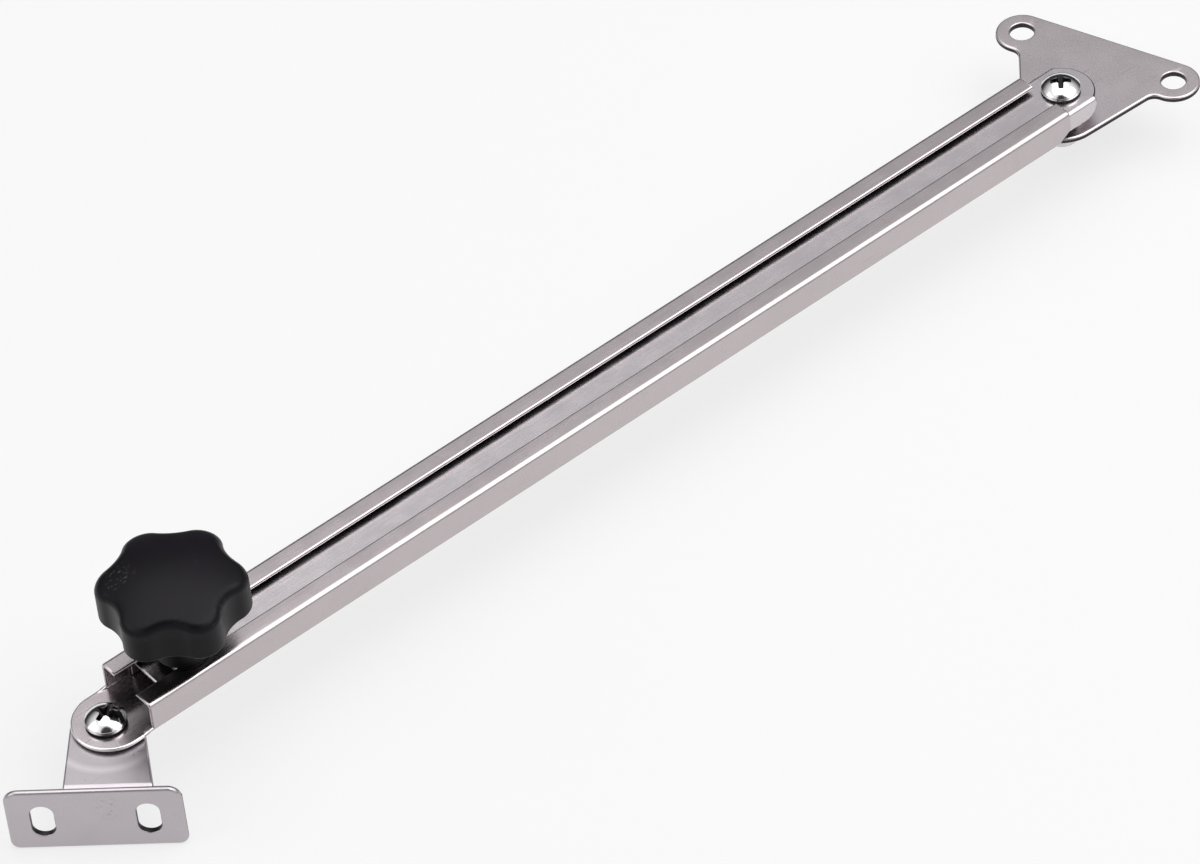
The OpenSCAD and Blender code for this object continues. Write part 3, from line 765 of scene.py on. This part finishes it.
def build_knob():
    """A domed shell with lobes, hollow below, with ribs and a hub that holds the stud."""
    bm = bmesh.new()
    rings = []

    def add(inset, z):
        rings.append([bm.verts.new((x, y, z)) for x, y in star_loop(inset)])

    edge_z = KNOB_TOP - KNOB_EDGE_R
    reach = (KNOB_DOME_R - KNOB_EDGE_R) ** 2 - (KNOB_R - KNOB_EDGE_R) ** 2
    dome_z = edge_z - math.sqrt(reach)

    def dome(x, y, drop=0.0):
        rho = max(KNOB_FLAT_R, math.hypot(x, y))
        return (x, y, dome_z + math.sqrt(KNOB_DOME_R ** 2 - rho ** 2) - drop)

    for inset, drop in edge_round(KNOB_FOOT_R, KNOB_EDGE_STEPS)[::-1]:
        add(inset, SKIRT_FOOT + drop)
    for inset, drop in edge_round(KNOB_EDGE_R, KNOB_EDGE_STEPS):
        rings.append([bm.verts.new(dome(x, y, drop)) for x, y in star_loop(inset)])
    for inset in DOME_INSETS:
        rings.append([bm.verts.new(dome(x, y)) for x, y in star_loop(inset)])
    inmost = star_loop(DOME_INSETS[-1])
    for scale in DOME_SCALES:
        rings.append([bm.verts.new(dome(x * scale, y * scale)) for x, y in inmost])
    outer = rings[:]
    roof = KNOB_TOP - KNOB_ROOF_T
    rings.clear()
    add(SKIRT_T, roof)
    add(SKIRT_T, SKIRT_FOOT)
    inner = rings[:]
    join_rings(bm, inner + outer)
    bm.faces.new(outer[-1])
    bm.faces.new(inner[0][::-1])
    hub_top = roof + OVERLAP
    hub_side = [(0, KNOB_SEAT), (HUB_R, KNOB_SEAT), (HUB_R, hub_top), (0, hub_top)]
    shell = combine("knob", bm, lathe(rounded(hub_side, HUB_EDGE_R), 64), "UNION")
    rib_l = 2 * (KNOB_R - SKIRT_T + OVERLAP)
    rib_h = roof - SKIRT_FOOT
    rib_z = (roof + SKIRT_FOOT) / 2 + OVERLAP
    for i in range(KNOB_LOBES // 2):
        rib = bmesh.new()
        bmesh.ops.create_cube(rib, size=1)
        for v in rib.verts:
            v.co = (v.co.x * rib_l, v.co.y * KNOB_RIB_T, rib_z + v.co.z * rib_h)
        bmesh.ops.rotate(rib, verts=rib.verts, cent=(0, 0, 0),
                         matrix=Matrix.Rotation(math.radians(i * 360 / KNOB_LOBES), 3, "Z"))
        shell = combine("knob", shell, rib, "UNION")
    bore_r = STUD_R + TURN_GAP
    bore_top = KNOB_SEAT + STUD_HOLD
    bore_foot = KNOB_SEAT - OVERLAP
    bore_side = [(0, bore_foot), (bore_r, bore_foot), (bore_r, bore_top), (0, bore_top)]
    shell = combine("knob", shell, lathe(bore_side, HOLE_STEPS), "DIFFERENCE")
    return make_object("clamp_knob", shell, turned(KNOB_TURN, KNOB_X), KNOB_SHARP)


# Fasteners

def cross_recess():
    """Cutter for a cross recess: four straight wings that taper downwards."""
    bm = bmesh.new()
    rings = []
    for z in (HEAD_H - RECESS_DEPTH, HEAD_H + RECESS_LIFT):
        share = (z - HEAD_H + RECESS_DEPTH) / (RECESS_DEPTH - RECESS_RIM_DROP)
        tip = RECESS_ROOT + (RECESS_W / 2 - RECESS_ROOT) * share
        w = RECESS_HALF_T + RECESS_FLARE * share
        corner = w * 1.5
        wing = [(corner, -w), (tip - w * 0.25, -w), (tip, -w * 0.7)]
        wing += [(x, -y) for x, y in wing[::-1]]
        ring = []
        for i in range(4):
            turn = math.radians(90 * i)
            for x, y in wing:
                ring.append(bm.verts.new((x * math.cos(turn) - y * math.sin(turn),
                                          x * math.sin(turn) + y * math.cos(turn), z)))
        rings.append(ring)
    join_rings(bm, rings)
    bm.faces.new(rings[0])
    bm.faces.new(rings[-1][::-1])
    return bm


def build_screw(name, head_z, nut_top, turn, x):
    """A pan head with a cross recess, and a thread that ends a little below the lock nut."""
    rise = HEAD_H - HEAD_RIM_H
    ball = (HEAD_R ** 2 + rise ** 2) / (2 * rise)
    sweep = math.degrees(math.asin(HEAD_R / ball))
    dome = arc(0, HEAD_H - ball, ball, 90 - sweep, 90, 26)
    profile = [(0, 0), (HEAD_R - HEAD_FOOT_CUT, 0), (HEAD_R, HEAD_FOOT_CUT), (HEAD_R, HEAD_FOOT_H)]
    shoulder = rounded(profile + dome[:4], HEAD_EDGE_R, 4)
    head = lathe(shoulder + dome[4:-1] + [(0, HEAD_H)], 96)
    head = combine(name, head, cross_recess(), "DIFFERENCE")
    for v in head.verts:
        v.co.z += head_z
    tip_z = nut_top - NUT_H - SCREW_TIP
    shank = threaded(SCREW_R, tip_z, head_z, SCREW_PITCH, SCREW_THREAD, SCREW_CHAMFER)
    obj = make_object(name, merge([head, shank]), turned(turn, x), FASTENER_SHARP)
    ball_centre = Vector((x, 0, head_z + HEAD_H - ball))

    def in_recess(c, n):
        """Whether a face lies below the dome's ball, within the cross."""
        above_floor = c.z > head_z + HEAD_H - RECESS_DEPTH - RECESS_MARK
        inside = math.hypot(c.x - x, c.y) < RECESS_W / 2 + RECESS_MARK
        return above_floor and inside and (c - ball_centre).length < ball - RECESS_MARK

    def at_foot(c, n):
        """Whether a face is on the head's upright foot, well outside the shank."""
        outside = math.hypot(c.x - x, c.y) > (SCREW_R + HEAD_R) / 2
        return outside and head_z < c.z < head_z + HEAD_FOOT_H

    # Painted shade: the faces of the cross recess are painted dark
    paint(obj, in_recess)
    # Painted shadow: a dark ring on the head's upright foot, where it meets the sheet
    paint(obj, at_foot)
    return obj


def build_ring(name, outer, hole, low, high, turn=0.0, x=0.0, edge=WASHER_EDGE_R):
    """A washer, bush or nylon ring about a pivot, between two heights."""
    bm = slab(ring_points(0, 0, outer, 72), [ring_points(0, 0, hole)], low, high, edge)
    return make_object(name, bm, turned(turn, x))


def build_lock_nut(name, top, x, turn=0.0):
    """Chamfered hexagon with a rounded collar that grips a nylon ring."""
    corners = ring_points(0, 0, NUT_HALF_W / math.cos(math.radians(30)), 6)
    hexagon = []
    # Each side starts and ends just off its corners, which leaves them a little blunt
    for i in range(6):
        p = Vector(corners[i])
        q = Vector(corners[(i + 1) % 6])
        hexagon += [tuple(p.lerp(q, t)) for t in (0.02, 0.25, 0.5, 0.75, 0.98)]
    prism = slab(hexagon, [], -NUT_HEX_H, 0, NUT_EDGE_R, 2)
    # A cone that slopes at 45 degrees from the rim cuts the chamfer at the upper corners
    slope = 3.4
    wide = NUT_HALF_W + slope
    cone = lathe([(0, -4), (wide, -4), (wide, -slope), (NUT_HALF_W, 0.02), (0, 0.02)], 72)
    nut = combine(name, prism, cone, "INTERSECT")
    # The collar starts a little inside the hexagon
    collar_top = 0.1 - NUT_HEX_H
    collar = [(0, collar_top), (NUT_COLLAR_R, collar_top), (NUT_COLLAR_R, -NUT_H)]
    collar += [(NUT_MOUTH_R, -NUT_H), (0, -NUT_H)]
    nut = combine(name, nut, lathe(rounded(collar, NUT_COLLAR_EDGE_R, 5), 64), "UNION")
    bore_foot = -NUT_H - OVERLAP
    bore = [(0, OVERLAP), (CLOSE_HOLE_R, OVERLAP), (CLOSE_HOLE_R, -NUT_HEX_H)]
    bore += [(NYLON_R, -NUT_HEX_H), (NYLON_R, bore_foot), (0, bore_foot)]
    nut = combine(name, nut, lathe(bore, HOLE_STEPS), "DIFFERENCE")
    for v in nut.verts:
        v.co.z += top
    return make_object(name, nut, turned(turn, x), FASTENER_SHARP)


# Materials

def shade(colour, factor=1.0):
    """A colour made darker or lighter, with full cover."""
    return tuple(min(1.0, c * factor) for c in colour) + (1,)


class Nodes:
    """Short calls for building the nodes of a material or of the world."""

    def __init__(self, owner):
        self.owner = owner
        owner.use_nodes = True
        self.tree = owner.node_tree
        self.tree.nodes.clear()
        self.coordinates = self.add("ShaderNodeTexCoord").outputs
        self.place = self.coordinates["Object"]

    def add(self, kind, inputs=(), **settings):
        """A node with its settings, and its inputs set to values or linked to other nodes."""
        node = self.tree.nodes.new(kind)
        for key, value in settings.items():
            setattr(node, key, value)
        for key, value in dict(inputs).items():
            if isinstance(value, bpy.types.NodeSocket):
                self.tree.links.new(value, node.inputs[key])
            else:
                node.inputs[key].default_value = value
        return node

    def noise(self, scale, stretch=(1, 1, 1), detail=3.0, rough=0.55, turn=0.0):
        """Noise in the part's own space, drawn out along an axis where stretch is small there."""
        moved = self.add("ShaderNodeMapping", {"Vector": self.place, "Scale": stretch,
                                               "Rotation": (0, 0, math.radians(turn))})
        return self.add("ShaderNodeTexNoise", {"Vector": moved.outputs[0], "Scale": scale,
                                               "Detail": detail, "Roughness": rough}).outputs[0]

    def ramp(self, value, low, high, out_low=0.0, out_high=1.0):
        """The value spread from between low and high to between the two outputs."""
        return self.add("ShaderNodeMapRange", {"Value": value, "From Min": low, "From Max": high,
                                               "To Min": out_low, "To Max": out_high}).outputs[0]

    def math(self, operation, a, b):
        return self.add("ShaderNodeMath", {0: a, 1: b}, operation=operation).outputs[0]

    def blend(self, factor, a, b):
        """A mix of two colours."""
        node = self.add("ShaderNodeMix", {"Factor": factor}, data_type="RGBA")
        for socket, value in ((node.inputs[6], a), (node.inputs[7], b)):
            if isinstance(value, bpy.types.NodeSocket):
                self.tree.links.new(value, socket)
            else:
                socket.default_value = value
        return node.outputs[2]

    def mix(self, factor, a, b):
        """A mix of two numbers."""
        return self.add("ShaderNodeMix", {0: factor, 2: a, 3: b}).outputs[0]

    def bump(self, height, strength, distance, normal=None):
        inputs = {"Height": height, "Strength": strength, "Distance": distance}
        if normal is not None:
            inputs["Normal"] = normal
        return self.add("ShaderNodeBump", inputs).outputs[0]

    def mirrored(self, path):
        """One for mirror and glass rays."""
        return self.math("MAXIMUM", path["Is Glossy Ray"], path["Is Transmission Ray"])

    def patch(self, at, inner, outer):
        """One within inner of a point and none beyond outer, in millimetres."""
        centre = tuple(c * MM for c in at)
        far = self.add("ShaderNodeVectorMath", {0: self.place, 1: centre}, operation="DISTANCE")
        return self.ramp(far.outputs["Value"], inner * MM, outer * MM, 1.0, 0.0)

    def ring_mask(self, radius, width):
        """One along a ring about the bracket's pivot, in millimetres, fading to its sides."""
        flat = self.add("ShaderNodeVectorMath", {0: self.place, 1: (1, 1, 0)},
                        operation="MULTIPLY").outputs[0]
        centre = (PIVOT_AT[0] * MM, PIVOT_AT[1] * MM, 0)
        far = self.add("ShaderNodeVectorMath", {0: flat, 1: centre},
                       operation="DISTANCE").outputs["Value"]
        off = self.math("ABSOLUTE", self.math("SUBTRACT", far, radius * MM), 0.0)
        return self.ramp(off, 0.0, width * MM, 1.0, 0.0)

    def metal(self, tone, roughness, normal):
        """The finished material with a bare metal's shader."""
        shader = self.add("ShaderNodeBsdfPrincipled", {"Base Color": tone, "Metallic": 1.0,
                                                       "Roughness": roughness, "Normal": normal})
        return self.finish(shader)

    def finish(self, shader, output="ShaderNodeOutputMaterial"):
        surface = self.add(output).inputs["Surface"]
        self.tree.links.new(shader.outputs[0], surface)
        return self.owner


def steel(name, colour, rough, grain, grain_scale, sheen_ring=0.0, dark_spots=()):
    """Satin stainless sheet: a fine grain, sparkle, soft smudges and a few light scratches.
    A paler ring about the bracket's pivot is a painted reflection of the tongue's edge. Dark
    specks are painted about points, each with its reach in millimetres."""
    m = Nodes(bpy.data.materials.new(name))
    brushed = m.noise(grain_scale, grain, 4.0, 0.6)
    sparkle = m.noise(7500.0, detail=2.0, rough=0.7)
    clouds = m.noise(45.0)
    patches = m.noise(160.0, detail=4.0)
    scratch = m.ramp(m.noise(420.0, (0.12, 1.6, 1.0), 2.0, 0.5, 24), 0.70, 0.76)
    tone = m.blend(m.ramp(sparkle, 0.30, 0.70), shade(colour, 0.88), shade(colour, 1.08))
    tone = m.blend(m.ramp(clouds, 0.45, 0.75, 0.0, 0.35), tone, shade(colour, 0.88))
    tone = m.blend(m.math("MULTIPLY", scratch, 0.25), tone, shade(colour, 0.7))
    if sheen_ring:
        # Painted reflection: a paler ring about the bracket's pivot, as the tongue's edge mirrored
        # in the leg
        painted_ring = m.math("MULTIPLY", m.ring_mask(SHEEN_RING_R, SHEEN_RING_W), sheen_ring)
        tone = m.blend(painted_ring, tone, shade(colour, 1.45))
    if dark_spots:
        specks = m.ramp(m.noise(1500.0, rough=0.6), 0.55, 0.64, 0.0, 0.45)
        near = 0.0
        for at, reach in dark_spots:
            near = m.math("MAXIMUM", m.patch(at, reach * 0.3, reach), near)
        tone = m.blend(m.math("MULTIPLY", specks, near), tone, shade(colour, 0.3))
    roughness = m.math("ADD", m.ramp(patches, 0.3, 0.7, -0.035, 0.045), rough)
    roughness = m.math("ADD", roughness, m.ramp(brushed, 0.3, 0.7, -0.03, 0.03))
    normal = m.bump(brushed, 0.35, 0.00002)
    normal = m.bump(sparkle, 0.20, 0.00001, normal)
    normal = m.bump(scratch, 0.25, 0.00002, normal)
    return m.metal(tone, roughness, normal)


def bright_steel(name, colour, rough):
    """Polished or turned stainless: almost clean, with faint handling marks."""
    m = Nodes(bpy.data.materials.new(name))
    clouds = m.noise(500.0)
    fine = m.noise(3000.0)
    tone = m.blend(m.ramp(clouds, 0.35, 0.75), shade(colour), shade(colour, 0.86))
    roughness = m.math("ADD", m.ramp(fine, 0.3, 0.7, -0.03, 0.05), rough)
    return m.metal(tone, roughness, m.bump(fine, 0.12, 0.00001))


def knob_plastic():
    """Black moulded plastic with a fine spark-eroded grain and a few pale scuffs, painted a little
    paler on top and darker on its sides, as painted light and shade."""
    m = Nodes(bpy.data.materials.new("knob_plastic"))
    grain = m.noise(3600.0, rough=0.6)
    clouds = m.noise(120.0)
    scuff_area = m.ramp(m.noise(150.0, detail=2.0), 0.62, 0.74, 0.0, 0.25)
    scuff_area = m.math("MAXIMUM", scuff_area, m.patch(SCUFF_AT, 1.5, 5.0))
    scuff = m.ramp(m.noise(1500.0, (0.8, 1.2, 1.0), 3.0, 0.6, 35), 0.58, 0.66)
    marks = m.math("MULTIPLY", m.math("MULTIPLY", scuff, scuff_area), 0.8)
    top_tone = m.blend(m.ramp(clouds, 0.35, 0.7), shade((0.0035, 0.003, 0.0045)),
                       shade((0.0065, 0.0047, 0.0085)))
    height = m.add("ShaderNodeSeparateXYZ", {0: m.place}).outputs[2]
    # Painted light and shade: the top is paler and the sides darker
    painted_top_light = m.ramp(height, (PIVOT_AT[2] + KNOB_SHADED_SIDE_Z) * MM, (PIVOT_AT[2] + KNOB_LIT_TOP_Z) * MM)
    tone = m.blend(painted_top_light, shade((0.0025, 0.0023, 0.0025)), top_tone)
    tone = m.blend(marks, tone, shade((0.14, 0.14, 0.15)))
    roughness = m.math("ADD", m.ramp(clouds, 0.3, 0.7, -0.03, 0.04), 0.38)
    roughness = m.math("ADD", roughness, m.math("MULTIPLY", marks, 0.4))
    normal = m.bump(grain, 0.35, 0.00004)
    shader = m.add("ShaderNodeBsdfPrincipled", {"Base Color": tone, "Roughness": roughness,
                                                "Normal": normal, "Specular IOR Level": 0.16})
    return m.finish(shader)


def nylon():
    """Milky nylon that lets a little light in."""
    m = Nodes(bpy.data.materials.new("nylon"))
    clouds = m.noise(300.0)
    tone = m.blend(m.ramp(clouds, 0.35, 0.7), shade((0.80, 0.79, 0.74)), shade((0.70, 0.69, 0.64)))
    roughness = m.ramp(clouds, 0.3, 0.7, 0.40, 0.52)
    normal = m.bump(m.noise(2500.0), 0.15, 0.00002)
    shader = m.add("ShaderNodeBsdfPrincipled", {"Base Color": tone, "Roughness": roughness,
                                                "Normal": normal, "Subsurface Weight": 0.1,
                                                "Subsurface Radius": (MM, MM, MM)})
    return m.finish(shader)


def floor_material():
    """Pale floor that keeps the shadows, and shows nearly white where it is seen or mirrored."""
    m = Nodes(bpy.data.materials.new("pale_floor"))
    tone = m.blend(m.noise(8.0, detail=2.0), shade((0.95, 0.95, 0.95)), shade((0.96, 0.96, 0.96)))
    plain = m.add("ShaderNodeBsdfPrincipled", {"Base Color": tone, "Roughness": 0.9,
                                               "Specular IOR Level": 0.0})
    white = m.add("ShaderNodeEmission", {"Color": (1, 1, 1, 1), "Strength": 1.0})
    path = m.add("ShaderNodeLightPath").outputs
    seen = m.math("MAXIMUM", path["Is Camera Ray"], m.mirrored(path))
    share = m.math("MULTIPLY", seen, 0.7)
    shader = m.add("ShaderNodeMixShader", {0: share, 1: plain.outputs[0], 2: white.outputs[0]})
    return m.finish(shader)


# The dark and the pale materials that paint gives a piece besides its own: the dark one is painted
# shade, and also the rough cut edges of the bracket and the plate, and the pale one is a painted
# highlight on the tongue's cut edge
SHADE_AND_HIGHLIGHT = (bright_steel("dull_edge_and_shade_steel", (0.05, 0.047, 0.05), 0.5),
             bright_steel("painted_highlight_steel", (0.92, 0.89, 0.90), 0.22))
MATERIALS = {
    "channel_steel": steel("channel_steel", (0.54, 0.49, 0.50), 0.24, (0.05, 1, 1), 2600.0,
                           dark_spots=CHANNEL_DARK_SPOTS),
    "rail_steel": steel("rail_steel", (0.64, 0.60, 0.62), 0.25, (0.08, 1, 1), 2600.0),
    "bracket_steel": steel("bracket_steel", (0.50, 0.465, 0.49), 0.33, (1, 1, 1), 2200.0,
                           sheen_ring=0.6, dark_spots=BRACKET_STAINS),
    "plate_steel": steel("plate_steel", (0.61, 0.56, 0.58), 0.27, (1, 1, 1), 2200.0),
    "screw_steel": bright_steel("screw_steel", (0.82, 0.81, 0.81), 0.12),
    "fastener_steel": bright_steel("fastener_steel", (0.66, 0.65, 0.65), 0.24),
    "knob_plastic": knob_plastic(),
    "nylon": nylon(),
}


def dress(obj, body, slot, *nodes):
    """Gives a piece its materials, its body and slot, and the nodes that it stands for."""
    marks = [face.material_index for face in obj.data.polygons]
    obj.data.materials.clear()
    for material in (MATERIALS[slot],) + SHADE_AND_HIGHLIGHT[:max(marks)]:
        obj.data.materials.append(material)
    obj.data.polygons.foreach_set("material_index", marks)
    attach(obj, body)
    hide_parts(*nodes)


# Pieces

dress(build_channel(), "channel", "channel_steel", "outer_channel")
dress(build_rail(), "rail", "rail_steel", "inner_rail")
dress(build_bracket(), "bracket", "bracket_steel", "angle_bracket")
dress(build_plate(), "plate", "plate_steel", "hinge_plate")
dress(build_knob(), "knob", "knob_plastic", "star_knob")

# The screws, washers, nuts and bush of the two pivots
dress(build_screw("bracket_screw", CHANNEL_T + SEAT_GAP, BRACKET_NUT_TOP, BRACKET_SCREW_TURN, 0),
      "bracket", "screw_steel", "bracket_pivot_screw")
dress(build_screw("plate_screw", RAIL_TOP, PLATE_NUT_TOP, PLATE_SCREW_TURN, PIVOT_SPAN),
      "rail", "screw_steel", "plate_pivot_screw")
dress(build_ring("slip_washer", SLIP_WASHER_R, FREE_HOLE_R, LEG_TOP, LEG_TOP + SLIP_WASHER_T,
                 BRACKET_TURN),
      "bracket", "nylon", "bracket_slip_washer")
dress(build_ring("bracket_washer", WASHER_R, FREE_HOLE_R, BRACKET_NUT_TOP, LEG_UNDER,
                 BRACKET_TURN),
      "bracket", "fastener_steel", "bracket_nut_washer")
dress(build_lock_nut("bracket_nut", BRACKET_NUT_TOP, 0, BRACKET_TURN),
      "bracket", "fastener_steel", "bracket_lock_nut")
dress(build_ring("bracket_ring", NYLON_R, CLOSE_HOLE_R, BRACKET_NUT_TOP - NUT_H,
                 BRACKET_NUT_TOP - NUT_HEX_H, BRACKET_TURN, 0, NYLON_EDGE_R),
      "bracket", "nylon", "bracket_nut_ring")
dress(build_ring("plate_washer", WASHER_R, FREE_HOLE_R, PLATE_NUT_TOP, PLATE_NUT_TOP + WASHER_T,
                 0, PIVOT_SPAN),
      "rail", "fastener_steel", "plate_nut_washer")
dress(build_lock_nut("plate_nut", PLATE_NUT_TOP, PIVOT_SPAN),
      "rail", "fastener_steel", "plate_lock_nut")
dress(build_ring("plate_ring", NYLON_R, CLOSE_HOLE_R, PLATE_NUT_TOP - NUT_H,
                 PLATE_NUT_TOP - NUT_HEX_H, 0, PIVOT_SPAN, NYLON_EDGE_R),
      "rail", "nylon", "plate_nut_ring")
dress(build_ring("bush", BUSH_R, FREE_HOLE_R, PLATE_TOP + SEAT_GAP, RAIL_TOP - RAIL_T,
                 0, PIVOT_SPAN),
      "rail", "fastener_steel", "spacer_bush")

# The knob's washer and stud
dress(build_ring("knob_washer", KNOB_WASHER_R, STUD_HOLE_R, KNOB_SEAT - KNOB_WASHER_T, KNOB_SEAT,
                 0, KNOB_X),
      "knob", "knob_plastic", "clamp_washer")
stud = threaded(STUD_R, STUD_TIP, KNOB_SEAT + STUD_HOLD, STUD_PITCH, STUD_THREAD, STUD_CHAMFER)
dress(make_object("clamp_stud", stud, turned(0, KNOB_X), FASTENER_SHARP),
      "knob", "fastener_steel", "knob_stud")

# The solids that no piece stands for only get a material
for kept in ("end_stop_rivet", "clamp_nut"):
    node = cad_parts[kept]
    node.data.materials.clear()
    node.data.materials.append(MATERIALS["fastener_steel"])


# Stage

def build_floor():
    """A plain square a hair below the part's lowest point."""
    bm = bmesh.new()
    corners = [(-1, -1), (1, -1), (1, 1), (-1, 1)]
    bm.faces.new([bm.verts.new((x * FLOOR_HALF, y * FLOOR_HALF, 0)) for x, y in corners])
    mesh = mesh_from(bm, "floor")
    floor = bpy.data.objects.new("floor", mesh)
    bpy.context.scene.collection.objects.link(floor)
    floor.location = (STAGE_MIDDLE[0], STAGE_MIDDLE[1], FLOOR_Z)
    mesh.materials.append(floor_material())


def area_light(name, direction, distance, size, power):
    """A soft box that faces the middle of the stage."""
    light = bpy.data.lights.new(name, "AREA")
    light.shape = "RECTANGLE"
    light.size, light.size_y = size
    light.energy = power
    obj = bpy.data.objects.new(name, light)
    bpy.context.scene.collection.objects.link(obj)
    aim = Vector(direction).normalized()
    obj.location = Vector(STAGE_MIDDLE) + aim * distance
    obj.rotation_euler = aim.to_track_quat("Z", "Y").to_euler()


def build_world():
    """White where it is seen, a plain level of light elsewhere. Mirrored it is white overhead and
    to the front, and darker behind and low down, with a dark spot where the camera stands."""
    world = bpy.data.worlds.new("studio")
    bpy.context.scene.world = world
    m = Nodes(world)
    direction = m.coordinates["Generated"]
    front = m.add("ShaderNodeVectorMath", {0: direction, 1: BRIGHT_SKY},
                  operation="DOT_PRODUCT").outputs["Value"]
    toward = m.add("ShaderNodeVectorMath", {0: direction, 1: CAMERA_BACK},
                   operation="DOT_PRODUCT").outputs["Value"]
    height = m.add("ShaderNodeSeparateXYZ", {0: direction}).outputs[2]
    low_sky = m.ramp(height, 0.0, 0.5, 0.4, 1.0)
    sky = m.math("MULTIPLY", m.ramp(front, -0.20, 0.50, 0.05, 1.0), low_sky)
    spot = m.ramp(toward, 0.90, 0.94, 1.0, 0.04)
    path = m.add("ShaderNodeLightPath").outputs
    strength = m.mix(m.mirrored(path), 0.25, m.math("MULTIPLY", sky, spot))
    strength = m.mix(path["Is Camera Ray"], strength, 1.0)
    background = m.add("ShaderNodeBackground", {"Color": shade((0.99, 0.99, 1.0)),
                                                "Strength": strength})
    m.finish(background, "ShaderNodeOutputWorld")


def build_camera():
    """The photo's view: a long lens from above the bracket's end."""
    camera = bpy.data.cameras.new("camera")
    camera.sensor_width = SENSOR_W
    camera.lens = CAMERA_LENS
    camera.clip_start = 0.05
    camera.clip_end = 50.0
    obj = bpy.data.objects.new("camera", camera)
    bpy.context.scene.collection.objects.link(obj)
    turn = Matrix((CAMERA_RIGHT, CAMERA_UP, CAMERA_BACK)).transposed().to_4x4()
    obj.matrix_world = Matrix.Translation(CAMERA_AT) @ turn
    bpy.context.scene.camera = obj


build_floor()
build_world()
for lamp in LAMPS:
    area_light(*lamp)
build_camera()

view = bpy.context.scene.view_settings
view.view_transform = "Standard"
